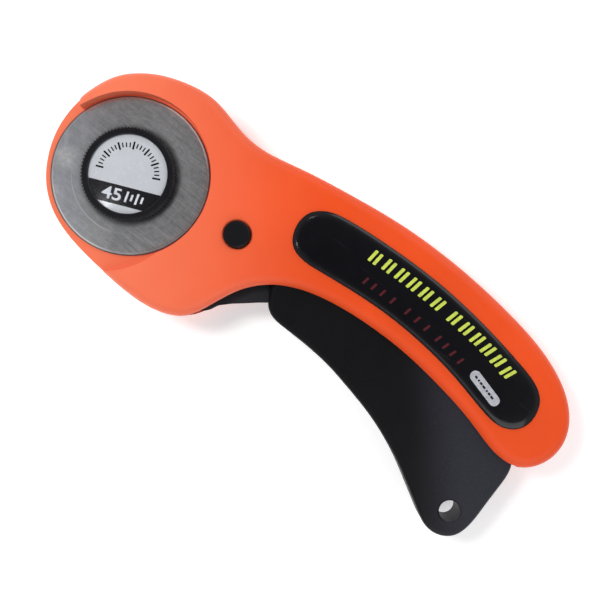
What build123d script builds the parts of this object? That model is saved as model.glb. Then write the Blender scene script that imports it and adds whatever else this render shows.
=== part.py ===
from build123d import *
import math
import os

# Squeeze-trigger rotary cutter with a 45 mm blade, in millimetres.
# Every piece is drawn about the blade axis at the parting plane of the two shells:
# +Z points to the blade side (front), +X runs along the tool towards the hang hole,
# and the trigger comes out of the belly on the -Y side. The pieces are lifted when
# they are written, so that z = 0 is the plane the finished tool rests on.

os.makedirs("parts", exist_ok=True)

# ---------------------------------------------------------------- mechanism
LIFT = 10.8                     # height of the parting plane over the rest plane
PIVOT = (31.0, -16.8)           # trigger pivot
SQUEEZE = 12.5                  # trigger travel in degrees
LOCK = (34.27, 5.43)            # cross lock axis
CLIP_POST = (LOCK[0], LOCK[1] + 6.0)    # post the lock's wire clip bends round
LEG_END = (41.9, -7.7)          # where the return spring's leg enters the trigger
HANG = (129.22, -19.08)         # hang hole
HEAD_SCREW = (10.0, 27.0)
HANDLE_SCREWS = [(37.0, 24.0), (137.6, 15.8), (86.0, 31.2)]
SCREWS = [HEAD_SCREW, *HANDLE_SCREWS]

# ---------------------------------------------------------------- shells
FRONT_Z = 9.4                   # front face at the head
HANDLE_DROP = 0.45              # the handle's front face sits a little lower
REAR_Z = -10.0                  # rear face in the handle
HEAD_REAR_Z = -5.8              # rear face behind the head
WALL = 2.5                      # side walls
FACE_IN = 7.0                   # inner face of front and rear skins
PLATE_H = 3.2                   # half height of the slot the trigger plate runs in
TAIL_R = 107.0                  # radius about the pivot that the end wall clears
EDGE_R = 3.2                    # outer edge radius
SEAM_R = 0.25                   # edge radius along the parting line
RECESS_FLOOR_Z = 5.5
RECESS_R = 23.15                # blade recess
RECESS_WALL = 2.3               # stock left round the recess inside the front shell
BOSS_SLOT_R = 7.0               # arc slot the trigger boss runs in
WINDOW_R = 10.8                 # rear arc window the nut runs in
STEP_X0, STEP_X1 = 14.0, 27.0   # start and end of the rear step from head to handle
HANDLE_ROOM_X = 29.0            # the rear shell's deeper room starts here
SCREW_POST_R = 3.3
PIVOT_POST_R = 4.2
LOCK_TUBE_R = 5.4
POST_OVERLAP = 0.3              # posts sink this far into the skins
COUNTERBORE_R = 2.7
THROUGH = 20.0                  # cut length that passes right through

INLAY_FLOOR_Z = 8.1             # floor of the front inlay pocket
INLAY_TOP_Z = 9.9
REAR_INLAY_FLOOR_Z = -8.8
REAR_INLAY_Z = -LIFT
REAR_INLAY_INSET = 2.2          # the rear inlay is this much smaller all round
INLAY_GAP = 0.06

# ---------------------------------------------------------------- trigger and pivot
PLATE_T = 2.9                   # half thickness of the trigger plate
WEB_T = 2.0                     # half thickness at the lock slot
GRIP_T = 6.8                    # half thickness of the finger grip
TAIL_DROP = 1.5                 # each side of the grip loses this towards the hang hole
TAPER_X0, TAPER_X1 = 104.0, 140.0
HEAD_R = 13.5                   # round end of the plate, about the blade axis
HUB_R = 4.5
BOSS_R = 6.5                    # boss that carries the blade
BOSS_Z = 5.3
PAD_R = 8.8                     # pad for the spring washer on the rear
PAD_Z = -4.2
D_CUT = (4.0, 8.0)              # rectangle that cuts the flat of a D section
HANG_R = 3.05
HANG_MOUTH = 1.5                # chamfer of the hang hole's mouths
HANG_MOUTH_Z = 5.65             # inner end of that chamfer
POCKET_TOP_Y = 20.0             # cored pockets run past the hidden top edge
PIN_R = 2.0
PIN_HALF = 7.5                  # half length of the pivot pin
BUSHING_R = 3.0

# ---------------------------------------------------------------- blade stack
BLADE_R = 22.5
BLADE_BORE_R = 4.0
BLADE_T = 0.3
BLADE_Z = 5.75                  # underside of the blade
BEVEL_W = 1.0                   # ground bevel at the rim
RIM_HALF = 0.02                 # half thickness left at the rim
CAP_R = 13.1
CAP_Z0 = 6.08
CAP_Z1 = 10.1
CAP_STEP_H = 0.45               # height of the narrower top step
BOLT_HEAD_R = 7.0
BOLT_HEAD_H = 1.5
SHANK_Z = -4.75                 # the D-shank ends and the thread starts here
THREAD_END_Z = -9.2
LABEL_R = 11.06
LABEL_Z0 = 9.0
LABEL_T = 1.0
DOME_R = 94.0                   # the label is slightly domed
NUT_R = 9.8
NUT_Z = -LIFT                   # the nut's outer face lies in the rest plane
NUT_RIM_H = 4.7
NUT_TOP_Z = -4.76
NUT_NOTCH_R = 0.75
INSERT_R = 4.6
INSERT_BORE_R = 3.0

# ---------------------------------------------------------------- cross lock, screws
BUTTON_R = 3.85
LOCK_HOLE_R = BUTTON_R + 0.1
BUTTON_SEAT_Z = -5.5            # plunger shoulder that the rear button meets
CLIP_WIRE_R = 0.35
CLIP_R = 3.2                    # bend radius, and half the distance between the legs
CLIP_Z = 4.5
CLIP_REACH = 3.6                # how far the legs run past the lock axis
SCREW_HEAD_H = 1.75

# ---------------------------------------------------------------- outlines
# Closed outlines of (x, y) points, all clockwise seen from the front.
# A periodic spline runs through the points of BODY, INLAY and GRIP.
BODY = [(-18.1, 22.1), (-11.6, 27.0), (-2.9, 30.4), (5.6, 31.5), (15.2, 29.6),
        (23.4, 28.7), (36.1, 31.0), (52.1, 34.0), (66.6, 36.0), (80.2, 36.8),
        (94.0, 36.5), (108.7, 35.1), (120.7, 32.9), (130.2, 29.5), (137.2, 24.9),
        (141.5, 19.1), (142.7, 12.5), (140.8, 6.6), (136.3, 2.4), (130.4, 1.4),
        (119.1, 3.9), (105.3, 6.6), (92.2, 8.0), (79.6, 8.0), (67.5, 6.7),
        (57.7, 4.1), (50.1, -0.1), (44.5, -6.1), (40.3, -15.0), (36.5, -21.5),
        (30.8, -24.8), (22.1, -26.3), (9.7, -25.8), (-2.4, -24.2), (-10.9, -21.3),
        (-17.2, -16.6), (-21.9, -9.7), (-24.5, -1.6), (-24.6, 7.0), (-22.3, 15.5)]

INLAY = [(47.2, 23.7), (50.5, 26.2), (56.1, 27.7), (66.3, 28.8), (77.1, 29.4),
         (87.6, 29.4), (97.8, 28.7), (108.3, 27.4), (119.3, 25.4), (125.6, 23.6),
         (129.0, 21.1), (130.6, 17.3), (130.4, 13.1), (128.3, 10.1), (124.6, 8.4),
         (119.6, 8.6), (108.5, 11.0), (98.8, 12.6), (89.2, 13.4), (79.7, 13.5),
         (69.6, 12.8), (58.0, 11.4), (52.0, 11.2), (48.4, 12.6), (46.2, 15.9),
         (45.7, 20.1)]

# finger grip: lower edge from the step to the tail, then the hidden top edge
# (this one runs counter-clockwise)
GRIP = [(52.4, -3.9), (53.9, -5.6), (56.2, -6.7), (59.6, -7.05), (65.0, -7.05),
        (70.5, -7.2), (77.6, -7.9), (85.4, -9.4), (93.2, -11.2), (100.8, -13.7),
        (108.1, -16.8), (115.1, -20.6), (121.9, -24.5), (126.6, -26.6),
        (131.2, -26.3), (134.8, -23.6), (136.3, -19.0), (136.4, -12.0),
        (136.3, -5.0), (135.8, 0.4), (134.3, 3.2), (131.0, 4.3), (118.0, 6.0),
        (105.0, 8.4), (90.0, 10.1), (75.0, 10.2), (62.0, 8.6), (54.0, 6.4),
        (50.6, 3.4), (50.5, -0.2)]

# trigger plate from the head round the hub to the grip, straight-sided
PLATE = [(6.0, 12.0), (20.0, 12.4), (37.0, 12.6), (45.0, 10.6), (53.0, 8.2),
         (60.0, 6.0), (60.0, -5.0), (52.9, -4.1), (50.4, -6.0), (47.4, -8.6),
         (44.4, -11.1), (41.6, -13.9), (40.4, -16.4), (39.2, -17.8),
         (36.6, -19.0), (33.9, -20.2), (31.0, -21.2), (4.0, -12.8)]

# area that opens the blade recess through the shell's rim at the -X end
RECESS_OPENING = [(-21.5, 5.5), (-22.74, 7.1), (-23.8, 8.48), (-25.5, 10.7),
                  (-34, 8), (-34, -14), (-20, -14)]

# area that opens the cavity along the belly, where the trigger comes out
BELLY_OPENING = [(33.6, -20.5), (165, -20.5), (165, 12), (60, 12), (38, 0), (33, -14)]

# cored pockets in the grip: x from, x to, lower y
GRIP_POCKETS = [(61.0, 74.0, -4.4), (76.0, 90.0, -5.4),
                (92.0, 104.0, -8.2), (106.0, 116.0, -12.8)]


def turned(point, degrees):
    """point turned about the pivot"""
    angle = math.radians(degrees)
    dx, dy = point[0] - PIVOT[0], point[1] - PIVOT[1]
    return (PIVOT[0] + dx * math.cos(angle) - dy * math.sin(angle),
            PIVOT[1] + dx * math.sin(angle) + dy * math.cos(angle))


def inset(points, distance):
    """closed clockwise outline moved inwards by distance"""
    moved = []
    for i, (x, y) in enumerate(points):
        before = points[i - 1]
        after = points[(i + 1) % len(points)]
        dx, dy = after[0] - before[0], after[1] - before[1]
        length = math.hypot(dx, dy)
        moved.append((x + dy / length * distance, y - dx / length * distance))
    return moved


# arcs as start, middle, end: the blade axis as the trigger is squeezed, and the
# lock axis as the moving trigger sees it
BLADE_PATH = ((0.0, 0.0), turned((0.0, 0.0), SQUEEZE / 2), turned((0.0, 0.0), SQUEEZE))
LOCK_PATH = (LOCK, turned(LOCK, -SQUEEZE / 2), turned(LOCK, -SQUEEZE))


# ---------------------------------------------------------------- shared sketches
def outline_sketch(points):
    """face inside a smooth closed outline"""
    with BuildSketch(mode=Mode.PRIVATE) as outline:
        with BuildLine():
            Spline(*points, periodic=True)
        make_face()
    return outline.sketch


def arc_slot(path, radius):
    """slot of the given half width along an arc"""
    with BuildSketch(mode=Mode.PRIVATE) as slot:
        with BuildLine():
            arc = ThreePointArc(*path)
        SlotArc(arc=arc, height=2 * radius)
    return slot.sketch


def recess_sketch(radius, opening=False):
    """area swept by a disc on the blade axis, from rest to squeezed"""
    start, middle, end = BLADE_PATH
    with BuildSketch(mode=Mode.PRIVATE) as recess:
        for place in (start, end, middle):
            with Locations(place):
                Circle(radius)
        with BuildLine():
            arc = ThreePointArc(start, middle, end)
        SlotArc(arc=arc, height=2 * radius)
        if opening:
            with BuildLine() as border:
                Polyline(*RECESS_OPENING, close=True)
            # the edges are named because the arc above is still pending
            make_face(border.edges())
    return recess.sketch


def cavity_sketch():
    """inside of the body, open along the belly"""
    with BuildSketch(mode=Mode.PRIVATE) as cavity:
        with BuildLine():
            Spline(*inset(BODY, WALL), periodic=True)
        make_face()
        with BuildLine():
            Polyline(*BELLY_OPENING, close=True)
        make_face()
        with Locations(PIVOT):
            Circle(TAIL_R, mode=Mode.INTERSECT)
    return cavity.sketch


# ---------------------------------------------------------------- shells
def is_front_rim(edge):
    """outline edge of the front face, not an arc about the blade axis"""
    center = edge.center()
    center_r = math.hypot(center.X, center.Y)
    return (center.Z > FRONT_Z - 1.0 and center_r > 20
            and edge.bounding_box().min.Z > FRONT_Z - 1.0
            and not any(abs(math.hypot(v.X, v.Y) - center_r) < 0.05
                        for v in edge.vertices()))


def front_shell():
    handle_z = FRONT_Z - HANDLE_DROP
    # places, radius, start z, length, mode
    round_features = [
        (SCREWS, SCREW_POST_R, 0, FACE_IN + POST_OVERLAP, Mode.ADD),
        ([PIVOT], PIVOT_POST_R, 6.6, 1.3, Mode.ADD),
        ([LOCK], LOCK_TUBE_R, 5.3, 2.4, Mode.ADD),
        # stepped post that holds the lock's clip
        ([CLIP_POST], 3.6, 5.2, 2.4, Mode.ADD),
        ([CLIP_POST], 2.6, 3.8, 1.6, Mode.ADD),
        ([CLIP_POST], 3.1, 3.3, 0.6, Mode.ADD),
        (SCREWS, 1.52, 0, 6.6, Mode.SUBTRACT),
        ([PIVOT], PIN_R + 0.02, 0, PIN_HALF + 0.1, Mode.SUBTRACT),
        ([LOCK], LOCK_HOLE_R, 2.0, THROUGH, Mode.SUBTRACT),
    ]
    with BuildPart() as shell:
        with BuildSketch(Plane.XY):
            add(outline_sketch(BODY))
        extrude(amount=FRONT_Z)
        fillet(shell.edges().group_by(Axis.Z)[0], radius=SEAM_R)
        # the handle's face falls away gently beyond a circle round the head
        with BuildSketch(Plane.XZ):
            with BuildLine():
                Spline((38.0, FRONT_Z), (50.0, handle_z), tangents=((1, 0), (1, 0)))
                Polyline((50.0, handle_z), (170.0, handle_z), (170.0, FRONT_Z + 3),
                         (38.0, FRONT_Z + 3), (38.0, FRONT_Z))
            make_face()
        revolve(axis=Axis.Z, mode=Mode.SUBTRACT)
        fillet(shell.edges().filter_by(is_front_rim), radius=EDGE_R)
        # blade recess
        with BuildSketch(Plane.XY.offset(RECESS_FLOOR_Z)):
            add(recess_sketch(RECESS_R, opening=True))
        extrude(amount=FRONT_Z, mode=Mode.SUBTRACT)
        # room for the trigger plate
        with BuildSketch(Plane.XY):
            add(cavity_sketch())
        extrude(amount=PLATE_H, mode=Mode.SUBTRACT)
        # deeper room outside the recess
        with BuildSketch(Plane.XY.offset(PLATE_H)):
            add(cavity_sketch())
            add(recess_sketch(RECESS_R + RECESS_WALL), mode=Mode.SUBTRACT)
        extrude(amount=FACE_IN - PLATE_H, mode=Mode.SUBTRACT)
        # posts, then holes
        for places, radius, start, length, mode in round_features:
            with BuildSketch(Plane.XY.offset(start)):
                with Locations(*places):
                    Circle(radius)
            extrude(amount=length, mode=mode)
        # mouth of the lock hole
        chamfer(shell.edges().filter_by(GeomType.CIRCLE).filter_by(
            lambda e: abs(e.radius - LOCK_HOLE_R) < 0.01
            and e.center().Z > FRONT_Z - 0.3), length=0.35)
        with BuildSketch(Plane.XY.offset(2.0)):
            add(arc_slot(BLADE_PATH, BOSS_SLOT_R))
        extrude(amount=6, mode=Mode.SUBTRACT)
        # pocket for the inlay
        with BuildSketch(Plane.XY.offset(INLAY_FLOOR_Z)):
            add(outline_sketch(INLAY))
        extrude(amount=6, mode=Mode.SUBTRACT)
    return shell.part


def rear_shell():
    # places, radius, start z, length towards -Z, mode
    round_features = [
        (HANDLE_SCREWS, SCREW_POST_R, 0, FACE_IN + POST_OVERLAP, Mode.ADD),
        ([HEAD_SCREW], SCREW_POST_R, 0, PLATE_H + POST_OVERLAP, Mode.ADD),
        ([PIVOT], PIVOT_POST_R, -3.15, 4.6, Mode.ADD),
        ([LOCK], LOCK_TUBE_R, -5.6, 2.4, Mode.ADD),
        (SCREWS, 1.62, 0, THROUGH, Mode.SUBTRACT),
        (HANDLE_SCREWS, COUNTERBORE_R, -8.2, 6, Mode.SUBTRACT),
        ([HEAD_SCREW], COUNTERBORE_R, -4.0, 6, Mode.SUBTRACT),
        ([PIVOT], PIN_R + 0.02, 0, PIN_HALF + 0.1, Mode.SUBTRACT),
        ([LOCK], LOCK_HOLE_R, -3.0, THROUGH, Mode.SUBTRACT),
    ]
    with BuildPart() as shell:
        with BuildSketch(Plane.XY):
            add(outline_sketch(BODY))
        extrude(amount=REAR_Z)
        fillet(shell.edges().group_by(Axis.Z)[-1], radius=SEAM_R)
        fillet(shell.edges().group_by(Axis.Z)[0], radius=EDGE_R)
        # the head is thinner than the handle; the step is an S-curve
        with BuildSketch(Plane.XZ.offset(-60)):
            with BuildLine():
                Polyline((STEP_X1, REAR_Z), (STEP_X1, REAR_Z - 5), (-40, REAR_Z - 5),
                         (-40, HEAD_REAR_Z), (STEP_X0, HEAD_REAR_Z))
                Spline((STEP_X0, HEAD_REAR_Z), (STEP_X1, REAR_Z),
                       tangents=((1, 0), (1, 0)))
            make_face()
        extrude(amount=120, mode=Mode.SUBTRACT)
        # room for the trigger plate
        with BuildSketch(Plane.XY):
            add(cavity_sketch())
        extrude(amount=-PLATE_H, mode=Mode.SUBTRACT)
        # deeper room for the grip, in the handle only
        with BuildSketch(Plane.XY.offset(-PLATE_H)):
            add(cavity_sketch())
            with Locations(((HANDLE_ROOM_X - 60) / 2, 0)):
                Rectangle(HANDLE_ROOM_X + 60, 200, mode=Mode.SUBTRACT)
        extrude(amount=-(FACE_IN - PLATE_H), mode=Mode.SUBTRACT)
        # posts, then holes
        for places, radius, start, length, mode in round_features:
            with BuildSketch(Plane.XY.offset(start)):
                with Locations(*places):
                    Circle(radius)
            extrude(amount=-length, mode=mode)
        with BuildSketch(Plane.XY):
            add(arc_slot(BLADE_PATH, WINDOW_R))
        extrude(amount=-THROUGH, mode=Mode.SUBTRACT)
        # pocket for the inlay
        with BuildSketch(Plane.XY.offset(REAR_INLAY_FLOOR_Z)):
            add(outline_sketch(inset(INLAY, REAR_INLAY_INSET)))
        extrude(amount=-6, mode=Mode.SUBTRACT)
    return shell.part


# ---------------------------------------------------------------- inlays
def grip_inlay(outline_inset, floor_z, face_z, face_group, edge_radius):
    """inlay from its pocket floor to its outer face, which is rounded"""
    with BuildPart() as inlay:
        with BuildSketch(Plane.XY.offset(floor_z)):
            add(outline_sketch(inset(INLAY, outline_inset)))
        extrude(amount=face_z - floor_z)
        fillet(inlay.edges().group_by(Axis.Z)[face_group], radius=edge_radius)
    return inlay.part


def front_grip_inlay():
    return grip_inlay(INLAY_GAP, INLAY_FLOOR_Z, INLAY_TOP_Z,
                      face_group=-1, edge_radius=0.9)


def rear_grip_inlay():
    return grip_inlay(REAR_INLAY_INSET + INLAY_GAP, REAR_INLAY_FLOOR_Z, REAR_INLAY_Z,
                      face_group=0, edge_radius=0.8)


# ---------------------------------------------------------------- trigger lever
def is_grip_rim(edge):
    """outline edge of the grip's front or rear face"""
    size = edge.bounding_box().size
    return (abs(edge.center().Z) > GRIP_T - TAIL_DROP - 0.1 and size.Z < 3.0
            and edge.length > 1.0 and size.X > 0.5)


def trigger_lever():
    with BuildPart() as lever:
        with BuildSketch(Plane.XY.offset(-PLATE_T)):
            Circle(HEAD_R)
            with Locations(PIVOT):
                Circle(HUB_R)
            with BuildLine():
                Polyline(*PLATE, close=True)
            make_face()
        extrude(amount=2 * PLATE_T)
        # finger grip
        with BuildSketch(Plane.XY.offset(-GRIP_T)):
            with BuildLine():
                Spline(*GRIP, periodic=True)
            make_face()
        extrude(amount=2 * GRIP_T)
        # the grip thins smoothly towards the hang hole on both sides
        for side in (1, -1):
            taper_start = (TAPER_X0, side * GRIP_T)
            taper_end = (TAPER_X1, side * (GRIP_T - TAIL_DROP))
            with BuildSketch(Plane.XZ):
                with BuildLine():
                    ThreePointArc(taper_start, (124.0, side * (GRIP_T - TAIL_DROP * 0.309)),
                                  taper_end)
                    Polyline(taper_end, (TAPER_X1, side * (GRIP_T + 3)),
                             (TAPER_X0, side * (GRIP_T + 3)), taper_start)
                make_face()
            extrude(amount=60, both=True, mode=Mode.SUBTRACT)
        fillet(lever.edges().filter_by(is_grip_rim), radius=1.3)
        # boss for the blade on the front, pad for the washer on the rear
        with BuildSketch(Plane.XY.offset(PLATE_T)):
            Circle(BOSS_R)
        extrude(amount=BOSS_Z - PLATE_T)
        with BuildSketch(Plane.XY.offset(PAD_Z)):
            Circle(PAD_R)
        extrude(amount=-PAD_Z - PLATE_T)
        # D-hole for the blade bolt, flat at x = 2.45
        with BuildSketch(Plane.XY.offset(-6)):
            Circle(3.05)
            with Locations((2.45 + D_CUT[0] / 2, 0)):
                Rectangle(*D_CUT, mode=Mode.SUBTRACT)
        extrude(amount=14, mode=Mode.SUBTRACT)
        # seat for the pivot bushing
        with BuildSketch(Plane.XY.offset(-PLATE_T)):
            with Locations(PIVOT):
                Circle(BUSHING_R)
        extrude(amount=2 * PLATE_T, mode=Mode.SUBTRACT)
        # lock slot: two round seats joined by a narrower channel
        with BuildSketch(Plane.XY.offset(-PLATE_T)):
            with Locations(LOCK_PATH[0], LOCK_PATH[-1]):
                Circle(2.9)
            add(arc_slot(LOCK_PATH, 1.8))
        extrude(amount=2 * PLATE_T, mode=Mode.SUBTRACT)
        # thinner web round the slot, wider on the front than on the rear
        for side, radius in ((1, 4.5), (-1, 3.4)):
            with BuildSketch(Plane.XY.offset(side * WEB_T)):
                add(arc_slot(LOCK_PATH, radius))
            extrude(amount=side * 2.0, mode=Mode.SUBTRACT)
        # hole for the return spring's leg
        with BuildSketch(Plane.XY.offset(0.5)):
            with Locations(LEG_END):
                Circle(0.7)
        extrude(amount=6, mode=Mode.SUBTRACT)
        # hang hole with a chamfered mouth on both sides
        with BuildSketch(Plane.XY.offset(-GRIP_T)):
            with Locations(HANG):
                Circle(HANG_R)
        extrude(amount=2 * GRIP_T, mode=Mode.SUBTRACT)
        for side in (1, -1):
            inner_z = side * HANG_MOUTH_Z
            outer_z = side * (HANG_MOUTH_Z + HANG_MOUTH)
            with BuildSketch(Plane(origin=(*HANG, 0), x_dir=(1, 0, 0), z_dir=(0, -1, 0))):
                with BuildLine():
                    Polyline((0, inner_z), (HANG_R, inner_z),
                             (HANG_R + HANG_MOUTH, outer_z), (0, outer_z), close=True)
                make_face()
            revolve(axis=Axis((*HANG, 0), (0, 0, 1)), mode=Mode.SUBTRACT)
        # cored pockets along the hidden top edge
        with BuildSketch(Plane.XY.offset(-4.6)):
            for x0, x1, low in GRIP_POCKETS:
                with Locations(((x0 + x1) / 2, (low + POCKET_TOP_Y) / 2)):
                    RectangleRounded(x1 - x0, POCKET_TOP_Y - low, 2.0)
        extrude(amount=9.2, mode=Mode.SUBTRACT)
    return lever.part


# ---------------------------------------------------------------- pivot
def pivot_bushing():
    with BuildPart() as bushing:
        with BuildSketch(Plane.XY.offset(-PLATE_T)):
            with Locations(PIVOT):
                Circle(BUSHING_R)
                Circle(PIN_R + 0.05, mode=Mode.SUBTRACT)
        extrude(amount=2 * PLATE_T)
    return bushing.part


def pivot_pin():
    with BuildPart() as pin:
        with BuildSketch(Plane.XY.offset(-PIN_HALF)):
            with Locations(PIVOT):
                Circle(PIN_R)
        extrude(amount=2 * PIN_HALF)
        chamfer(pin.edges().filter_by(GeomType.CIRCLE), length=0.3)
    return pin.part


def return_spring():
    """torsion spring round the pin: three turns and two legs"""
    wire_r = 0.4
    pitch = 0.86
    coil_h = 3 * pitch
    low_z = 3.55
    high_z = low_z + coil_h
    pivot_x, pivot_y = PIVOT
    coil_r = 3.3
    side_x = pivot_x + coil_r
    legs = [
        # down into the trigger
        [(side_x, pivot_y - 0.3, low_z), (side_x + 0.6, pivot_y + 3.2, low_z),
         (*LEG_END, low_z), (*LEG_END, 1.0)],
        # against the shell
        [(side_x, pivot_y - 0.3, high_z), (side_x, pivot_y + 3.6, high_z),
         (side_x - 5.0, pivot_y + 12.0, high_z)],
    ]
    with BuildPart() as spring:
        with BuildLine() as coil:
            Helix(pitch=pitch, height=coil_h, radius=coil_r,
                  center=(pivot_x, pivot_y, low_z))
        with BuildSketch(Plane(origin=coil.line @ 0, z_dir=coil.line % 0)):
            Circle(wire_r)
        sweep(path=coil.line)
        for points in legs:
            with BuildLine() as leg:
                Polyline(*points)
            with BuildSketch(Plane(origin=leg.line @ 0, z_dir=leg.line % 0)):
                Circle(wire_r)
            sweep(path=leg.line, transition=Transition.ROUND)
    return spring.part


# ---------------------------------------------------------------- blade stack
def blade():
    top_z = BLADE_Z + BLADE_T
    middle_z = BLADE_Z + BLADE_T / 2
    with BuildPart() as disc:
        with BuildSketch(Plane.XZ):
            with BuildLine():
                Polyline((BLADE_BORE_R, BLADE_Z), (BLADE_R - BEVEL_W, BLADE_Z),
                         (BLADE_R, middle_z - RIM_HALF), (BLADE_R, middle_z + RIM_HALF),
                         (BLADE_R - BEVEL_W, top_z), (BLADE_BORE_R, top_z), close=True)
            make_face()
        revolve(axis=Axis.Z)
    return disc.part


def blade_washer():
    with BuildPart() as washer:
        with BuildSketch(Plane.XY.offset(BOSS_Z)):
            Circle(6.4)
            Circle(BLADE_BORE_R, mode=Mode.SUBTRACT)
        extrude(amount=0.42)
    return washer.part


def blade_bolt():
    with BuildPart() as bolt:
        # head, held inside the cap
        with BuildSketch(Plane.XY.offset(CAP_Z0)):
            Circle(BOLT_HEAD_R)
        extrude(amount=BOLT_HEAD_H)
        # shoulder the blade turns on
        with BuildSketch(Plane.XY.offset(BOSS_Z)):
            Circle(BLADE_BORE_R - 0.05)
        extrude(amount=CAP_Z0 - BOSS_Z)
        # D-shank through the trigger, flat at x = 2.4
        with BuildSketch(Plane.XY.offset(SHANK_Z)):
            Circle(3.0)
            with Locations((2.4 + D_CUT[0] / 2, 0)):
                Rectangle(*D_CUT, mode=Mode.SUBTRACT)
        extrude(amount=BOSS_Z - SHANK_Z)
        # threaded end
        with BuildSketch(Plane.XY.offset(THREAD_END_Z)):
            Circle(2.97)
        extrude(amount=SHANK_Z - THREAD_END_Z)
        chamfer(bolt.edges().group_by(Axis.Z)[0], length=0.5)
    return bolt.part


def bolt_cap():
    step_z = CAP_Z1 - CAP_STEP_H
    with BuildPart() as cap:
        # notched rim, then a plain narrower step
        with BuildSketch(Plane.XY.offset(CAP_Z0)):
            Circle(CAP_R)
            with PolarLocations(CAP_R, 84):
                Circle(0.3, mode=Mode.SUBTRACT)
        extrude(amount=step_z - CAP_Z0)
        with BuildSketch(Plane.XY.offset(step_z)):
            Circle(CAP_R - 0.3)
        extrude(amount=CAP_STEP_H)
        fillet(cap.edges().group_by(Axis.Z)[-1], radius=0.42)
        # pocket for the bolt head, and the recess for the label
        with BuildSketch(Plane.XY.offset(CAP_Z0)):
            Circle(BOLT_HEAD_R)
        extrude(amount=BOLT_HEAD_H, mode=Mode.SUBTRACT)
        with BuildSketch(Plane.XY.offset(LABEL_Z0)):
            Circle(LABEL_R + 0.04)
        extrude(amount=3, mode=Mode.SUBTRACT)
    return cap.part


def cap_label():
    with BuildPart() as label:
        with BuildSketch(Plane.XY.offset(LABEL_Z0)):
            Circle(LABEL_R)
        extrude(amount=LABEL_T)
        with Locations((0, 0, LABEL_Z0 + LABEL_T - DOME_R)):
            Sphere(DOME_R, mode=Mode.INTERSECT)
    return label.part


def spring_washer():
    """slightly conical washer"""
    with BuildPart() as washer:
        with BuildSketch(Plane.XZ):
            with BuildLine():
                Polyline((3.3, -4.23), (8.4, -4.43), (8.4, -4.73), (3.3, -4.53), close=True)
            make_face()
        revolve(axis=Axis.Z)
    return washer.part


def clamp_nut():
    with BuildPart() as nut:
        # notched rim, then a plain narrower step
        with BuildSketch(Plane.XY.offset(NUT_Z)):
            Circle(NUT_R)
            with PolarLocations(NUT_R, 30):
                Circle(NUT_NOTCH_R, mode=Mode.SUBTRACT)
        extrude(amount=NUT_RIM_H)
        with BuildSketch(Plane.XY.offset(NUT_Z + NUT_RIM_H)):
            Circle(NUT_R - 1.2)
        extrude(amount=NUT_TOP_Z - NUT_Z - NUT_RIM_H)
        # round the rear rim between the notches
        fillet(nut.edges().filter_by(GeomType.CIRCLE).filter_by(
            lambda e: abs(e.center().Z - NUT_Z) < 0.01
            and abs(e.radius - NUT_NOTCH_R) > 0.01), radius=0.5)
        # shallow ring groove in the rear face
        with BuildSketch(Plane.XY.offset(NUT_Z)):
            Circle(6.6)
            Circle(5.9, mode=Mode.SUBTRACT)
        extrude(amount=0.35, mode=Mode.SUBTRACT)
        # bore for the insert
        with BuildSketch(Plane.XY.offset(NUT_Z)):
            Circle(INSERT_R)
        extrude(amount=10, mode=Mode.SUBTRACT)
    return nut.part


def nut_insert():
    start_z = NUT_Z + 0.2
    with BuildPart() as insert:
        with BuildSketch(Plane.XY.offset(start_z)):
            Circle(INSERT_R)
            Circle(INSERT_BORE_R, mode=Mode.SUBTRACT)
        extrude(amount=NUT_TOP_Z - start_z)
        chamfer(insert.edges().filter_by(GeomType.CIRCLE).filter_by(
            lambda e: abs(e.radius - INSERT_BORE_R) < 0.01), length=0.3)
    return insert.part


# ---------------------------------------------------------------- cross lock
def lock_plunger():
    # (radius, z) from the front face down the axis and back up the outside
    profile = [(3.05, 10.9), (0, 10.9), (0, -7.6), (1.5, -7.6), (1.5, BUTTON_SEAT_Z),
               (2.8, BUTTON_SEAT_Z), (2.8, -2.9), (2.2, -2.3), (1.6, -2.3), (1.6, 2.3),
               (2.5, 2.3), (2.8, 2.6), (2.8, 5.3), (BUTTON_R, 6.1), (BUTTON_R, 6.9),
               (2.8, 7.35), (2.8, 8.25), (BUTTON_R, 8.75), (BUTTON_R, 10.1)]
    with BuildPart() as plunger:
        with BuildSketch(Plane(origin=(*LOCK, 0), x_dir=(1, 0, 0), z_dir=(0, -1, 0))):
            with BuildLine():
                Polyline(*profile)
                ThreePointArc(profile[-1], (3.62, 10.67), profile[0])
            make_face()
        revolve(axis=Axis((*LOCK, 0), (0, 0, 1)))
    return plunger.part


def lock_rear_button():
    height = 2.8
    with BuildPart() as button:
        with BuildSketch(Plane.XY.offset(BUTTON_SEAT_Z - height)):
            with Locations(LOCK):
                Circle(BUTTON_R)
        extrude(amount=height)
        fillet(button.edges().group_by(Axis.Z)[0], radius=0.7)
        # blind hole for the plunger's end
        with BuildSketch(Plane.XY.offset(BUTTON_SEAT_Z)):
            with Locations(LOCK):
                Circle(1.52)
        extrude(amount=-2.15, mode=Mode.SUBTRACT)
    return button.part


def lock_detent_spring():
    """wire clip: two legs either side of the plunger, bent round a post"""
    post_x, post_y = CLIP_POST
    end_y = LOCK[1] - CLIP_REACH
    left_x, right_x = post_x - CLIP_R, post_x + CLIP_R
    with BuildPart() as clip:
        with BuildLine() as wire:
            Line((left_x, end_y, CLIP_Z), (left_x, post_y, CLIP_Z))
            ThreePointArc((left_x, post_y, CLIP_Z), (post_x, post_y + CLIP_R, CLIP_Z),
                          (right_x, post_y, CLIP_Z))
            Line((right_x, post_y, CLIP_Z), (right_x, end_y, CLIP_Z))
        with BuildSketch(Plane(origin=(left_x, end_y, CLIP_Z), z_dir=(0, 1, 0))):
            Circle(CLIP_WIRE_R)
        sweep(path=wire.line)
    return clip.part


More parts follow.
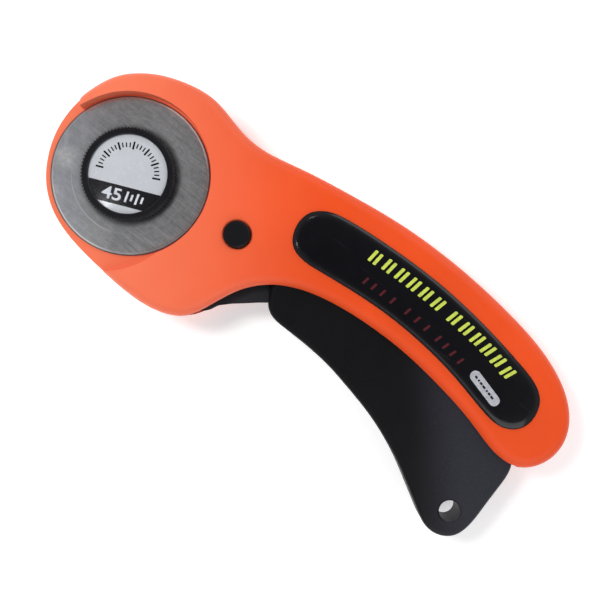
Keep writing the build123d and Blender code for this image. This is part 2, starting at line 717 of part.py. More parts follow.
# ---------------------------------------------------------------- shell screws
def shell_screws():
    with BuildPart() as screws:
        for place in SCREWS:
            head_z = -5.75 if place == HEAD_SCREW else -9.95
            # head, then shank
            for start, radius, length in ((head_z, 2.6, SCREW_HEAD_H),
                                          (head_z + SCREW_HEAD_H, 1.5, 10.25)):
                with BuildSketch(Plane.XY.offset(start)):
                    with Locations(place):
                        Circle(radius)
                extrude(amount=length)
            # cross recess
            with BuildSketch(Plane.XY.offset(head_z)):
                with Locations(place):
                    Rectangle(2.6, 0.6)
                    Rectangle(0.6, 2.6)
            extrude(amount=1.1, mode=Mode.SUBTRACT)
    return screws.part


# ---------------------------------------------------------------- placing and export
# Each piece and its file take the name of the function that builds it.
for build in (front_shell, rear_shell, front_grip_inlay, rear_grip_inlay, trigger_lever,
              pivot_bushing, pivot_pin, return_spring, blade, blade_washer, blade_bolt,
              bolt_cap, cap_label, spring_washer, clamp_nut, nut_insert, lock_plunger,
              lock_rear_button, lock_detent_spring, shell_screws):
    piece = build().moved(Location((0, 0, LIFT)))
    piece.label = build.__name__
    export_step(piece, f"parts/{build.__name__}.step")
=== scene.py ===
# Looks for a rotary cutter: a round blade under a knob, an orange two-shell
# handle with a gloss inlay, and a black trigger lever.
# The frame's origin is on the blade axis, in the plane the tool rests on, with +X
# along the tool and +Z out of the blade side. Outlines and heights are in mm,
# heights measured over the shells' parting plane. Materials, lights and camera
# are in metres.
import bpy
import bmesh
import math
import numpy as np
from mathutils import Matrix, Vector
from mathutils.geometry import delaunay_2d_cdt

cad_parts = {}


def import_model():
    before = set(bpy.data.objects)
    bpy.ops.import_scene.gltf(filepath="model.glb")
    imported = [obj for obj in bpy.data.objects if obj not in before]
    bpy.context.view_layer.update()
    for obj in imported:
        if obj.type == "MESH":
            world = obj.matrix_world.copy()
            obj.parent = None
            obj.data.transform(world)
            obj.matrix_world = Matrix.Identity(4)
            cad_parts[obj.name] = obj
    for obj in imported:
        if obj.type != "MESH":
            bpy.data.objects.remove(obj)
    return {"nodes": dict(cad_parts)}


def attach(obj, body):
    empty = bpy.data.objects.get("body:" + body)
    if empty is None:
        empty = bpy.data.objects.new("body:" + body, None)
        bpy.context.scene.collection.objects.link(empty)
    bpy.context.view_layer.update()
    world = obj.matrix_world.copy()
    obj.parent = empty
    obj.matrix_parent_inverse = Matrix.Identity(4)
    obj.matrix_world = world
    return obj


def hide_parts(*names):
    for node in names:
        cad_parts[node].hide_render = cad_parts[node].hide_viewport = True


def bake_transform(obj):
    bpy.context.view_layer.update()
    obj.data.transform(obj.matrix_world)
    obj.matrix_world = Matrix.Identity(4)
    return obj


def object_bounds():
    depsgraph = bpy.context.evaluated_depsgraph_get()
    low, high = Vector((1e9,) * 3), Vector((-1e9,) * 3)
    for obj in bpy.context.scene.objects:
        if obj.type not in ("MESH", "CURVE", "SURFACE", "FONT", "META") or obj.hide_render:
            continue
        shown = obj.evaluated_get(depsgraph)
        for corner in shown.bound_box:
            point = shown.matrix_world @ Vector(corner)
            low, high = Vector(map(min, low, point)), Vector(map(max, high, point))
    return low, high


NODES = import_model()["nodes"]
lo0, hi0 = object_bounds()

MM = 0.001
LIFT = 10.8         # mm, parting plane over the rest plane
VIEW_TURN = 38.0    # degrees, camera about Z


# ------------------------------------------------------------ node helpers
def fill_ramp(node, stops):
    """Sets a colour ramp from (position, colour) stops in rising order."""
    elements = node.color_ramp.elements
    for element, (position, color) in zip(elements, (stops[0], stops[-1])):
        element.position = position
        element.color = (*color, 1.0)
    for position, color in stops[1:-1]:
        elements.new(position).color = (*color, 1.0)


class Graph:
    """A material's node tree. Textures lie in object space, so scales are per metre."""

    def __init__(self, name):
        self.mat = bpy.data.materials.new(name)
        self.mat.use_nodes = True
        self.tree = self.mat.node_tree
        self.tree.nodes.clear()
        output = self.node("OutputMaterial")
        self.bsdf = self.node("BsdfPrincipled")
        self.put(output.inputs["Surface"], self.bsdf.outputs["BSDF"])
        self.coord = self.node("TexCoord").outputs["Object"]

    def node(self, kind):
        return self.tree.nodes.new("ShaderNode" + kind)

    def put(self, socket, value):
        """Links a socket, or sets a number or an RGB tuple."""
        if isinstance(value, bpy.types.NodeSocket):
            self.tree.links.new(value, socket)
        else:
            socket.default_value = (*value, 1.0) if isinstance(value, tuple) else value

    def calc(self, operation, a, b=0.0, clamp=False):
        n = self.node("Math")
        n.operation = operation
        n.use_clamp = clamp
        self.put(n.inputs[0], a)
        self.put(n.inputs[1], b)
        return n.outputs[0]

    def add(self, a, b):
        return self.calc("ADD", a, b)

    def sub(self, a, b):
        return self.calc("SUBTRACT", a, b)

    def mul(self, a, b):
        return self.calc("MULTIPLY", a, b)

    def weigh(self, *terms):
        """Sum of value * weight."""
        total = self.mul(*terms[0])
        for value, weight in terms[1:]:
            total = self.add(total, self.mul(value, weight))
        return total

    def hypot(self, x, y):
        return self.calc("SQRT", self.add(self.mul(x, x), self.mul(y, y)))

    def noise(self, scale, detail=3.0, rough=0.55, vec=None, distortion=0.0):
        n = self.node("TexNoise")
        n.inputs["Scale"].default_value = scale
        n.inputs["Detail"].default_value = detail
        n.inputs["Roughness"].default_value = rough
        n.inputs["Distortion"].default_value = distortion
        self.put(n.inputs["Vector"], self.coord if vec is None else vec)
        return n.outputs["Fac"]

    def cells(self, scale):
        n = self.node("TexVoronoi")
        n.feature = "SMOOTH_F1"
        n.inputs["Scale"].default_value = scale
        n.inputs["Randomness"].default_value = 1.0
        self.put(n.inputs["Vector"], self.coord)
        return n.outputs["Distance"]

    def stretch(self, scale, turn=0.0):
        """Object coordinates scaled per axis and turned about Z."""
        n = self.node("Mapping")
        n.inputs["Scale"].default_value = scale
        n.inputs["Rotation"].default_value = (0, 0, turn)
        self.put(n.inputs["Vector"], self.coord)
        return n.outputs[0]

    def ramp(self, factor, stops):
        n = self.node("ValToRGB")
        fill_ramp(n, stops)
        self.put(n.inputs[0], factor)
        return n.outputs["Color"]

    def remap(self, value, span=(0.3, 0.7), to=(0.0, 1.0), smooth=False):
        n = self.node("MapRange")
        n.clamp = True
        if smooth:
            n.interpolation_type = "SMOOTHSTEP"
        self.put(n.inputs["Value"], value)
        for key, number in zip(("From Min", "From Max", "To Min", "To Max"), span + to):
            n.inputs[key].default_value = number
        return n.outputs["Result"]

    def vary(self, value, by, to, span=(0.3, 0.7)):
        """Adds a texture to a value, after bringing it into the range to."""
        return self.add(value, self.remap(by, span, to))

    def mix(self, factor, a, b):
        n = self.node("Mix")
        n.data_type = "RGBA"
        self.put(n.inputs[0], factor)
        self.put(n.inputs[6], a)
        self.put(n.inputs[7], b)
        return n.outputs[2]

    def tone(self, by, a, b, span=(0.3, 0.7)):
        """Goes from colour a to colour b as a texture crosses the span."""
        return self.mix(self.remap(by, span), a, b)

    def bump(self, height, strength, dist, normal=None):
        n = self.node("Bump")
        n.inputs["Strength"].default_value = strength
        n.inputs["Distance"].default_value = dist
        self.put(n.inputs["Height"], height)
        if normal is not None:
            self.put(n.inputs["Normal"], normal)
        return n.outputs["Normal"]

    def edge(self, radius):
        """1 on sharp convex or concave edges, 0 on flats."""
        bevel = self.node("Bevel")
        bevel.samples = 4
        bevel.inputs["Radius"].default_value = radius
        dot = self.node("VectorMath")
        dot.operation = "DOT_PRODUCT"
        self.put(dot.inputs[0], bevel.outputs[0])
        self.put(dot.inputs[1], self.node("NewGeometry").outputs["Normal"])
        return self.remap(self.sub(1.0, dot.outputs["Value"]), span=(0.02, 0.30))

    def ring(self, radius, at, fade):
        """1 where radius equals at, falling to 0 over the fade distances."""
        off = self.calc("ABSOLUTE", self.sub(radius, at))
        return self.sub(1.0, self.remap(off, span=fade))

    def separate(self):
        n = self.node("SeparateXYZ")
        self.put(n.inputs[0], self.coord)
        return n.outputs

    def combine(self, *values):
        n = self.node("CombineXYZ")
        for socket, value in zip(n.inputs, values):
            self.put(socket, value)
        return n.outputs[0]

    def set(self, **values):
        names = {"base": "Base Color", "rough": "Roughness", "metal": "Metallic",
                 "spec": "Specular IOR Level", "normal": "Normal",
                 "coat": "Coat Weight", "coat_rough": "Coat Roughness"}
        for key, value in values.items():
            self.put(self.bsdf.inputs[names[key]], value)
        return self.mat


# ------------------------------------------------------------ materials
# The painted sheen on the lever's plate shows nearer than this along far_dir and under this
# height, in m
PLATE_RUN = 0.0365
PLATE_Z = 0.0154


def shade(color, factor):
    return tuple(factor * c for c in color)


def moulded(name, base, deep, light, rough, grain_mm, grain_h, spec, edge_wear_and_highlight, speck=0.0,
            painted_light_tone=None, far_run=None, far_dir=None, far_speck=0.0, plate_sheen=None):
    """Moulded plastic: fine grain, slow colour drift, edges lighter as wear and painted
    highlight.

    The second tone is painted light, reached over the distances far_run along far_dir:
    painted shade on the orange shell, painted sheen on the lever's tail. The plate tone is a
    painted sheen on the lever's thin plate.
    grain_h is the grain's height in mm.
    """
    g = Graph(name)

    def run_and_z():
        x, y, z = g.separate()
        return g.weigh((x, far_dir[0]), (y, far_dir[1])), z

    drift = g.noise(scale=38.0, rough=0.5)
    fine = g.noise(scale=1000.0 / grain_mm, detail=2.0, rough=0.6)
    cell = g.cells(scale=1000.0 / (grain_mm * 1.7))
    smear = g.noise(scale=120.0, detail=4.0, rough=0.6,
                    vec=g.stretch((1.0, 0.35, 1.0), turn=0.5))
    col = g.tone(drift, base, deep)
    # painted light: a second tone along far_dir, painted shade on the orange shell and
    # painted sheen on the lever's tail
    if painted_light_tone is not None:
        along = g.remap(run_and_z()[0], span=far_run, smooth=True)
        col = g.mix(along, col, g.tone(drift, painted_light_tone, shade(painted_light_tone, 0.9)))
    # painted sheen on the lever's thin plate
    if plate_sheen is not None:
        run, z = run_and_z()
        low = g.mul(g.remap(run, span=(PLATE_RUN, PLATE_RUN + 0.001), to=(1.0, 0.0)),
                    g.remap(z, span=(PLATE_Z, PLATE_Z + 0.0004), to=(1.0, 0.0)))
        col = g.mix(low, col, g.tone(smear, plate_sheen, shade(plate_sheen, 0.55), span=(0.35, 0.65)))
    # lighter edges: partly wear, partly painted highlight
    patchy = g.remap(g.noise(scale=420.0, rough=0.6), span=(0.35, 0.65), to=(0.25, 1.0))
    rub_and_highlight = g.mul(g.edge(radius=0.00045), patchy)
    col = g.mix(g.mul(rub_and_highlight, edge_wear_and_highlight), col, light)
    if speck:
        dots = g.noise(scale=2300.0, detail=1.0, rough=0.5)
        col = g.mix(g.remap(dots, span=(0.62, 0.74), to=(0.0, speck)), col, light)
    if far_speck:
        dots = g.noise(scale=3100.0, detail=1.0, rough=0.5)
        dots = g.remap(dots, span=(0.58, 0.72), to=(0.0, far_speck))
        col = g.mix(g.mul(dots, along), col, light)
    r = g.vary(rough, smear, to=(-0.05, 0.06))
    r = g.vary(r, fine, to=(-0.03, 0.05))
    r = g.calc("SUBTRACT", r, g.mul(rub_and_highlight, 0.10), clamp=True)
    grain = g.bump(g.weigh((fine, 0.6), (cell, 0.4)), strength=0.8, dist=grain_h * MM)
    waves = g.noise(scale=55.0, detail=2.0, rough=0.5)
    normal = g.bump(waves, strength=0.35, dist=0.00006, normal=grain)
    return g.set(base=col, rough=r, spec=spec, normal=normal, coat=0.0, coat_rough=0.25)


def metal(name, base, deep, rough, axis=0):
    """Drawn metal: fine lines along an axis, cloudy tarnish, brighter edges."""
    g = Graph(name)
    scale = [300.0, 300.0, 300.0]
    scale[axis] = 12.0
    lines = g.noise(scale=1.2, rough=0.7, vec=g.stretch(tuple(scale)))
    cloud = g.noise(scale=260.0, detail=4.0, rough=0.6)
    col = g.tone(cloud, base, deep)
    col = g.mix(g.mul(g.edge(radius=0.0002), 0.3), col, grey(0.9))
    return g.set(base=col, rough=g.vary(rough, lines, to=(-0.08, 0.1)), metal=1.0,
                 normal=g.bump(lines, strength=0.35, dist=0.00001))


def turned_metal(name, base, deep, rough):
    """Metal with concentric tool marks about the blade axis."""
    g = Graph(name)
    x, y, z = g.separate()
    radius = g.hypot(g.sub(x, 0.0), g.sub(y, 0.0))
    marks = g.combine(g.mul(radius, 9000.0), g.mul(z, 9000.0), 0.0)
    lines = g.noise(scale=1.0, rough=0.6, vec=marks)
    cloud = g.noise(scale=330.0, detail=4.0, rough=0.6)
    return g.set(base=g.tone(cloud, base, deep), metal=1.0,
                 rough=g.vary(rough, lines, to=(-0.08, 0.1)),
                 normal=g.bump(lines, strength=0.4, dist=0.000012))


def gloss_inlay():
    """Near-black gloss with haze and fine scratches."""
    g = Graph("gloss_inlay")
    drift = g.noise(scale=60.0, rough=0.5)
    haze = g.noise(scale=300.0, detail=5.0, rough=0.65)
    scratches = g.noise(scale=900.0, detail=2.0, rough=0.5,
                        vec=g.stretch((0.06, 1.0, 1.0), turn=0.35))
    r = g.vary(0.12, haze, to=(0.0, 0.08), span=(0.35, 0.7))
    r = g.vary(r, scratches, to=(0.0, 0.12), span=(0.66, 0.74))
    waves = g.noise(scale=160.0, detail=2.0, rough=0.5)
    return g.set(base=g.tone(drift, (0.0036, 0.0036, 0.0056), (0.0026, 0.0026, 0.0042)),
                 rough=r, spec=0.50, normal=g.bump(waves, strength=0.25, dist=0.00004))


def white_label():
    """Pale label with faint specks under a clear coat."""
    g = Graph("white_label")
    col = g.tone(g.noise(scale=150.0, rough=0.5), (0.56, 0.585, 0.625), (0.52, 0.545, 0.585))
    speck = g.noise(scale=1500.0, detail=2.0, rough=0.6)
    col = g.mix(g.remap(speck, span=(0.70, 0.78), to=(0.0, 0.35)), col, (0.45, 0.46, 0.52))
    haze = g.noise(scale=380.0, detail=4.0, rough=0.6)
    waves = g.noise(scale=260.0, detail=2.0, rough=0.5)
    return g.set(base=col, rough=g.vary(0.18, haze, to=(0.0, 0.14)), spec=0.5,
                 normal=g.bump(waves, strength=0.3, dist=0.00003), coat=0.4, coat_rough=0.08)


def blade_steel():
    """Ground blade: brushed streaks, painted highlight away from the handle, painted glints
    on two rings, painted shadow round the knob, darker outer edge.
    """
    g = Graph("blade_steel")
    x, y, _ = g.separate()
    radius = g.hypot(x, y)
    angle = g.calc("ARCTAN2", y, x)
    circles = g.noise(scale=1.0, rough=0.7,
                      vec=g.combine(g.mul(radius, 9000.0), g.mul(angle, 3.0), 0.0))
    brush = g.noise(scale=1500.0, detail=4.0, rough=0.75,
                    vec=g.stretch((0.030, 1.0, 1.0), turn=0.92))
    fine_brush = g.noise(scale=3600.0, detail=2.0, rough=0.7,
                         vec=g.stretch((0.05, 1.0, 1.0), turn=0.80))
    cloud = g.noise(scale=95.0, detail=4.0, rough=0.6, distortion=0.5)
    fine = g.noise(scale=800.0, detail=4.0, rough=0.7)
    scratches = g.noise(scale=1700.0, detail=2.0, rough=0.5,
                        vec=g.stretch((0.03, 1.0, 1.0), turn=2.2))
    scratches = g.remap(scratches, span=(0.71, 0.77))
    streaks = g.weigh((brush, 0.24), (fine_brush, 0.22), (circles, 0.22), (cloud, 0.18),
                      (fine, 0.28))
    col = g.ramp(g.sub(streaks, 0.07), [(0.40, (0.33, 0.33, 0.34)),
                                        (0.5, (0.475, 0.475, 0.48)),
                                        (0.60, (0.63, 0.63, 0.635))])

    # painted highlight: lighter, and patchy, towards the side away from the handle
    side = g.weigh((x, -0.88), (y, -0.47))
    painted_highlight = g.remap(side, span=(0.003, 0.021), to=(0.0, 0.38), smooth=True)
    col = g.mix(painted_highlight, col, (0.88, 0.90, 1.0))
    patches = g.noise(scale=210.0, detail=4.0, rough=0.65, distortion=0.8)
    highlight_patch = g.mul(g.remap(patches, span=(0.50, 0.66)),
                  g.remap(side, span=(0.008, 0.020), to=(0.0, 0.40), smooth=True))
    col = g.mix(highlight_patch, col, (0.95, 0.96, 1.0))

    # a painted white highlight spot on that side
    highlight_spot = g.hypot(g.sub(x, -0.0176), g.sub(y, -0.0070))
    ragged = g.noise(scale=900.0, rough=0.7)
    highlight_spot = g.mul(g.remap(highlight_spot, span=(0.0008, 0.0052), to=(0.80, 0.0), smooth=True),
                 g.remap(ragged, span=(0.35, 0.60), to=(0.45, 1.0)))
    col = g.mix(highlight_spot, col, grey(1.0))

    # painted highlight: the rings glint most in two opposite sectors, towards -Y and +Y
    def sector(degrees, span):
        facing = g.calc("COSINE", g.sub(angle, math.radians(degrees)))
        return g.remap(facing, span=span, smooth=True)

    minus_y = sector(252.0, span=(0.70, 0.95))
    glint_sectors = g.calc("MAXIMUM", minus_y, sector(72.0, span=(0.80, 0.97)))
    # a line where the grinding pattern changes, with a painted glint on it; a white line
    # inside the rim, a painted glint on the bevel; and a darker outer edge
    grind_line_glint = g.ring(radius, at=0.0166, fade=(0.0, 0.00022))
    bevel_glint = g.ring(radius, at=0.02194, fade=(0.00014, 0.00030))
    rim = g.remap(radius, span=(0.02218, 0.02226))
    grind_line_glint = g.mul(grind_line_glint, g.remap(minus_y, span=(0.0, 1.0), to=(0.12, 0.75)))
    col = g.mix(grind_line_glint, col, (0.95, 0.95, 0.97))
    bevel_glint = g.mul(bevel_glint, g.remap(glint_sectors, span=(0.0, 1.0), to=(0.25, 1.0)))
    col = g.mix(bevel_glint, col, grey(1.0))
    # painted shadow: a dark ring next to the knob
    knob_shadow = g.remap(radius, span=(0.0131, 0.0150), to=(0.74, 0.0), smooth=True)
    col = g.mix(knob_shadow, col, (0.045, 0.045, 0.05))
    col = g.mix(g.mul(rim, 0.85), col, (0.12, 0.12, 0.135))
    col = g.mix(g.mul(scratches, 0.30), col, (0.85, 0.85, 0.87))

    r = g.vary(0.40, fine, to=(-0.05, 0.06))
    r = g.vary(r, brush, to=(0.05, -0.05))
    r = g.add(r, g.mul(rim, 0.12))
    normal = g.bump(g.weigh((circles, 0.3), (brush, 0.7)), strength=0.40, dist=0.000012)
    normal = g.bump(cloud, strength=0.20, dist=0.00008, normal=normal)
    return g.set(base=col, rough=r, metal=1.0, normal=normal)


def ink(name, color, rough=0.35):
    """Printed ink with slightly uneven coverage."""
    g = Graph(name)
    cover = g.noise(scale=900.0, rough=0.6)
    grain = g.noise(scale=2200.0, detail=2.0, rough=0.5)
    return g.set(base=g.tone(cover, color, tuple(c * 0.72 for c in color), span=(0.35, 0.75)),
                 rough=g.vary(rough, cover, to=(-0.06, 0.08)), spec=0.4,
                 normal=g.bump(grain, strength=0.3, dist=0.000008))


def grey(value):
    return (value, value, value)


# its second tone is painted shade, deeper towards the handle's end
ORANGE = moulded("orange_shell", base=(0.93, 0.205, 0.104), deep=(0.905, 0.184, 0.090),
                 light=(1.0, 0.34, 0.19), rough=0.42, grain_mm=0.16, grain_h=0.012,
                 spec=0.30, edge_wear_and_highlight=0.30, painted_light_tone=(0.90, 0.086, 0.013),
                 far_run=(-0.010, 0.060), far_dir=(0.788, 0.616))
# its second tone is painted sheen on the tail; the plate tone is painted sheen on the thin
# plate
LEVER = moulded("black_lever", base=(0.0034, 0.0034, 0.0043), deep=(0.0024, 0.0024, 0.0032),
                light=(0.070, 0.070, 0.088), rough=0.44, grain_mm=0.20, grain_h=0.034,
                spec=0.22, edge_wear_and_highlight=0.50, speck=0.05, painted_light_tone=(0.0250, 0.0250, 0.0350),
                far_run=(0.0725, 0.090), far_dir=(0.75, 0.66), far_speck=0.26,
                plate_sheen=(0.0290, 0.0285, 0.0330))
KNOB = moulded("black_cap", base=(0.0062, 0.0062, 0.0084), deep=(0.0042, 0.0042, 0.0060),
               light=(0.10, 0.10, 0.125), rough=0.36, grain_mm=0.22, grain_h=0.026,
               spec=0.28, edge_wear_and_highlight=0.60, speck=0.08)
BUTTON = moulded("black_button", base=(0.0042, 0.0042, 0.0058),
                 deep=(0.0032, 0.0032, 0.0044), light=(0.05, 0.05, 0.06), rough=0.42,
                 grain_mm=0.14, grain_h=0.014, spec=0.26, edge_wear_and_highlight=0.4)
STEEL = turned_metal("steel_bolt", base=grey(0.50), deep=grey(0.40), rough=0.32)
PIN = metal("steel_pin", base=grey(0.55), deep=grey(0.45), rough=0.28, axis=2)
WIRE = metal("spring_wire", base=(0.42, 0.42, 0.44), deep=(0.30, 0.30, 0.32), rough=0.30)
ZINC = metal("zinc_screw", base=(0.56, 0.57, 0.56), deep=(0.44, 0.45, 0.46), rough=0.35)
BRASS = turned_metal("brass", base=(0.62, 0.43, 0.16), deep=(0.50, 0.33, 0.11), rough=0.30)
INLAY = gloss_inlay()
LABEL = white_label()
BLADE = blade_steel()
INK_YELLOW = ink("ink_yellow", (0.66, 0.78, 0.11))
INK_RED = ink("ink_red", (0.10, 0.010, 0.016))
INK_WHITE = ink("ink_white", (0.72, 0.74, 0.80), rough=0.3)
INK_BLACK = ink("ink_black", (0.012, 0.012, 0.015), rough=0.22)
INK_GREY = ink("ink_grey", (0.52, 0.52, 0.58))

for material, pieces in (
        (ORANGE, ("front_shell", "rear_shell")),
        (INLAY, ("front_grip_inlay", "rear_grip_inlay")),
        (ZINC, ("shell_screws",)),
        (PIN, ("pivot_pin",)),
        (WIRE, ("return_spring", "lock_detent_spring")),
        (LEVER, ("trigger_lever",)),
        (BRASS, ("pivot_bushing", "nut_insert")),
        (STEEL, ("blade_bolt", "blade_washer", "spring_washer")),
        (KNOB, ("bolt_cap", "clamp_nut")),
        (LABEL, ("cap_label",)),
        (BLADE, ("blade",)),
        (BUTTON, ("lock_plunger", "lock_rear_button"))):
    for piece in pieces:
        slots = NODES[piece].data.materials
        slots.clear()
        slots.append(material)


# ------------------------------------------------------------ outline helpers
def link(obj):
    bpy.context.scene.collection.objects.link(obj)
    return obj


def mesh_from(bm, name):
    me = bpy.data.meshes.new(name)
    bm.to_mesh(me)
    bm.free()
    return me


def face_outline(node, height):
    """Ordered outline, in mm, of a CAD piece's flat end face at a height."""
    bm = bmesh.new()
    bm.from_mesh(NODES[node].data)
    bmesh.ops.remove_doubles(bm, verts=bm.verts, dist=2e-6)
    z = (height + LIFT) * MM

    def on_plane(vert):
        return abs(vert.co.z - z) < 2e-5

    neighbours = {}
    for e in bm.edges:
        a, b = e.verts
        if on_plane(a) and on_plane(b):
            flat = sum(1 for f in e.link_faces if all(on_plane(v) for v in f.verts))
            if flat == 1:
                neighbours.setdefault(a.index, []).append(b.index)
                neighbours.setdefault(b.index, []).append(a.index)
    bm.verts.ensure_lookup_table()
    loops, seen = [], set()
    for start in neighbours:
        if start in seen:
            continue
        loop = [start]
        seen.add(start)
        while True:
            ahead = [k for k in neighbours[loop[-1]] if k not in seen]
            if not ahead:
                break
            seen.add(ahead[0])
            loop.append(ahead[0])
        loops.append([(bm.verts[i].co.x / MM, bm.verts[i].co.y / MM) for i in loop])
    bm.free()
    return max(loops, key=len)


def resample(loop, step):
    p = np.array(loop + [loop[0]])
    lengths = np.hypot(*np.diff(p, axis=0).T)
    along = np.concatenate([[0], np.cumsum(lengths)])
    count = int(along[-1] / step)
    t = np.arange(count) / count * along[-1]
    return np.c_[np.interp(t, along, p[:, 0]), np.interp(t, along, p[:, 1])]


def distance_to(loop, pts):
    """Distance from each point to the closed outline, in batches to save memory."""
    a = np.asarray(loop)
    ab = np.roll(a, -1, axis=0) - a
    length2 = (ab ** 2).sum(1) + 1e-12
    out = np.empty(len(pts))
    for i in range(0, len(pts), 500):
        q = pts[i:i + 500]
        t = np.clip(((q[:, None, :] - a[None]) * ab[None]).sum(2) / length2, 0, 1)
        nearest = a[None] + t[..., None] * ab[None]
        out[i:i + 500] = np.sqrt(((q[:, None, :] - nearest) ** 2).sum(2)).min(1)
    return out


def inside(loop, pts):
    """True for points inside the outline, by counting crossings."""
    a = np.asarray(loop)
    b = np.roll(a, -1, axis=0)
    x, y = pts[:, 0][:, None], pts[:, 1][:, None]
    spans = (a[:, 1][None] > y) != (b[:, 1][None] > y)
    slope_run = (b[:, 0] - a[:, 0])[None] * (y - a[:, 1][None])
    cross_x = slope_run / ((b[:, 1] - a[:, 1])[None] + 1e-15) + a[:, 0][None]
    return ((spans & (x < cross_x)).sum(1) % 2) == 1


def inset(loop, d):
    ahead = np.roll(loop, -1, axis=0)
    t = ahead - np.roll(loop, 1, axis=0)
    t /= np.hypot(t[:, 0], t[:, 1])[:, None]
    area2 = np.sum(loop[:, 0] * ahead[:, 1] - ahead[:, 0] * loop[:, 1])
    sign = 1.0 if area2 > 0 else -1.0
    return loop + np.c_[-t[:, 1], t[:, 0]] * d * sign


def inner_grid(loop, step, margin, stagger=0.0):
    """Grid points inside an outline, odd rows shifted by stagger steps."""
    lo, hi = loop.min(0), loop.max(0)
    gx, gy = np.meshgrid(np.arange(lo[0], hi[0], step), np.arange(lo[1], hi[1], step))
    shift = (np.round(gy.ravel() / step) % 2) * step * stagger
    pts = np.c_[gx.ravel() + shift, gy.ravel()]
    pts = pts[inside(loop, pts)]
    return pts[distance_to(loop, pts) > margin]


def triangulate(outline, *extra):
    """Points and triangles that fill an outline through the extra points."""
    pts = np.vstack([outline, *extra])
    n = len(outline)
    edges = [(i, (i + 1) % n) for i in range(n)]
    verts, _, faces, *_ = delaunay_2d_cdt([Vector(p) for p in pts], edges, [], 1, 1e-6)
    verts = np.array([(v.x, v.y) for v in verts])
    kept = inside(outline, np.array([verts[list(f)].mean(0) for f in faces]))
    return verts, [f for f, keep in zip(faces, kept) if keep]


# ------------------------------------------------------------ surface helpers
def pillow(name, loop, z_base, height, rings, grid, mat):
    """Closed pad: flat base at z_base, top from height(distance to the outline)."""
    verts, faces = triangulate(loop, *(inset(loop, d) for d in rings),
                               inner_grid(loop, grid, rings[-1] + grid * 0.6, stagger=0.5))
    bm = bmesh.new()
    top = [bm.verts.new((x * MM, y * MM, (z_base + LIFT + height(d)) * MM))
           for (x, y), d in zip(verts, distance_to(loop, verts))]
    for f in faces:
        try:
            bm.faces.new([top[i] for i in f])
        except ValueError:
            pass    # guards against a triangle that comes twice
    border = [e for e in bm.edges if len(e.link_faces) == 1]
    geom = bmesh.ops.extrude_edge_only(bm, edges=border)["geom"]
    for v in geom:
        if isinstance(v, bmesh.types.BMVert):
            v.co.z = (z_base + LIFT) * MM
    rim = [e for e in geom if isinstance(e, bmesh.types.BMEdge) and len(e.link_faces) == 1]
    bmesh.ops.contextual_create(bm, geom=rim)
    bmesh.ops.delete(bm, geom=[v for v in bm.verts if not v.link_faces], context="VERTS")
    bmesh.ops.recalc_face_normals(bm, faces=bm.faces)
    me = mesh_from(bm, name)
    me.materials.append(mat)
    obj = link(bpy.data.objects.new(name, me))
    for p in me.polygons:
        p.use_smooth = True
    me.set_sharp_from_angle(angle=math.radians(40))
    return obj


def film(name, me, thick, mat, body):
    """Closes a sheet into a film that grows downwards, and lets it ride on a body."""
    bm = bmesh.new()
    bm.from_mesh(me)
    bm.normal_update()
    copy = bmesh.ops.duplicate(bm, geom=bm.faces[:])
    low = {v for v in copy["geom"] if isinstance(v, bmesh.types.BMVert)}
    for v in low:
        v.co.z -= thick * MM
    below = copy["vert_map"]
    border = [e for e in bm.edges
              if len(e.link_faces) == 1 and e.verts[0] not in low and e.verts[1] not in low]
    for e in border:
        a, b = e.verts
        bm.faces.new((a, b, below[b], below[a]))
    bmesh.ops.recalc_face_normals(bm, faces=bm.faces)
    bm.to_mesh(me)
    bm.free()
    me.materials.clear()
    me.materials.append(mat)
    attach(link(bpy.data.objects.new(name, me)), body)


def drape(name, polys, surface, mat, cell, body, thick=0.05):
    """Printed film: polygons meshed at about cell and laid on z = surface(x, y)."""
    bm = bmesh.new()
    for poly in polys:
        poly = np.asarray(poly, float)
        # outline divided with its corners kept
        ring = []
        for a, b in zip(poly, np.roll(poly, -1, axis=0)):
            parts = max(1, int(np.hypot(*(b - a)) / cell))
            for i in range(parts):
                ring.append(a + (b - a) * i / parts)
        points, faces = triangulate(np.array(ring), inner_grid(poly, cell, cell * 0.45))
        verts = [bm.verts.new((x * MM, y * MM, (surface(x, y) + LIFT) * MM))
                 for x, y in points]
        for f in faces:
            bm.faces.new([verts[i] for i in f])
        bmesh.ops.delete(bm, geom=[v for v in verts if not v.link_faces], context="VERTS")
    for f in bm.faces:
        if f.normal.z < 0:
            f.normal_flip()
    film(name, mesh_from(bm, name), thick, mat, body)


def rounded_bar(cx, cy, angle, length, width, radius, slant=0.0, segments=5):
    """Rounded rectangle, length along the angle, leaning by slant."""
    cos, sin = math.cos(angle), math.sin(angle)
    pts = []
    for sx, sy, start in ((1, 1, 0), (-1, 1, 90), (-1, -1, 180), (1, -1, 270)):
        for i in range(segments + 1):
            a = math.radians(start + 90 * i / segments)
            px = sx * (length / 2 - radius) + radius * math.cos(a)
            py = sy * (width / 2 - radius) + radius * math.sin(a)
            px += slant * py
            pts.append((cx + px * cos - py * sin, cy + px * sin + py * cos))
    return pts


# ------------------------------------------------------------ return spring
# A copy with its placing baked in; the CAD piece is hidden.
spring = link(bpy.data.objects.new("return_spring_bends", NODES["return_spring"].data.copy()))
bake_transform(spring)
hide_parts("return_spring")


# ------------------------------------------------------------ front inlay: a domed pad
INLAY_BASE = 8.1
EDGE_RUN = 2.2      # width of the rounded edge
CROWN_RUN = 8.2     # distance from the outline where the crown levels off
TOP_FILM = 0.04     # thickness of a print laid over another
TOP_STEP = 0.02     # how much higher it lies

inlay_loop = resample(face_outline("front_grip_inlay", INLAY_BASE), 0.45)


def quarter_round(t):
    return math.sqrt(max(0.0, 1 - (1 - min(t, 1.0)) ** 2))


def inlay_height(d):
    return 1.05 + 0.55 * quarter_round(d / EDGE_RUN) + 0.35 * quarter_round(d / CROWN_RUN)


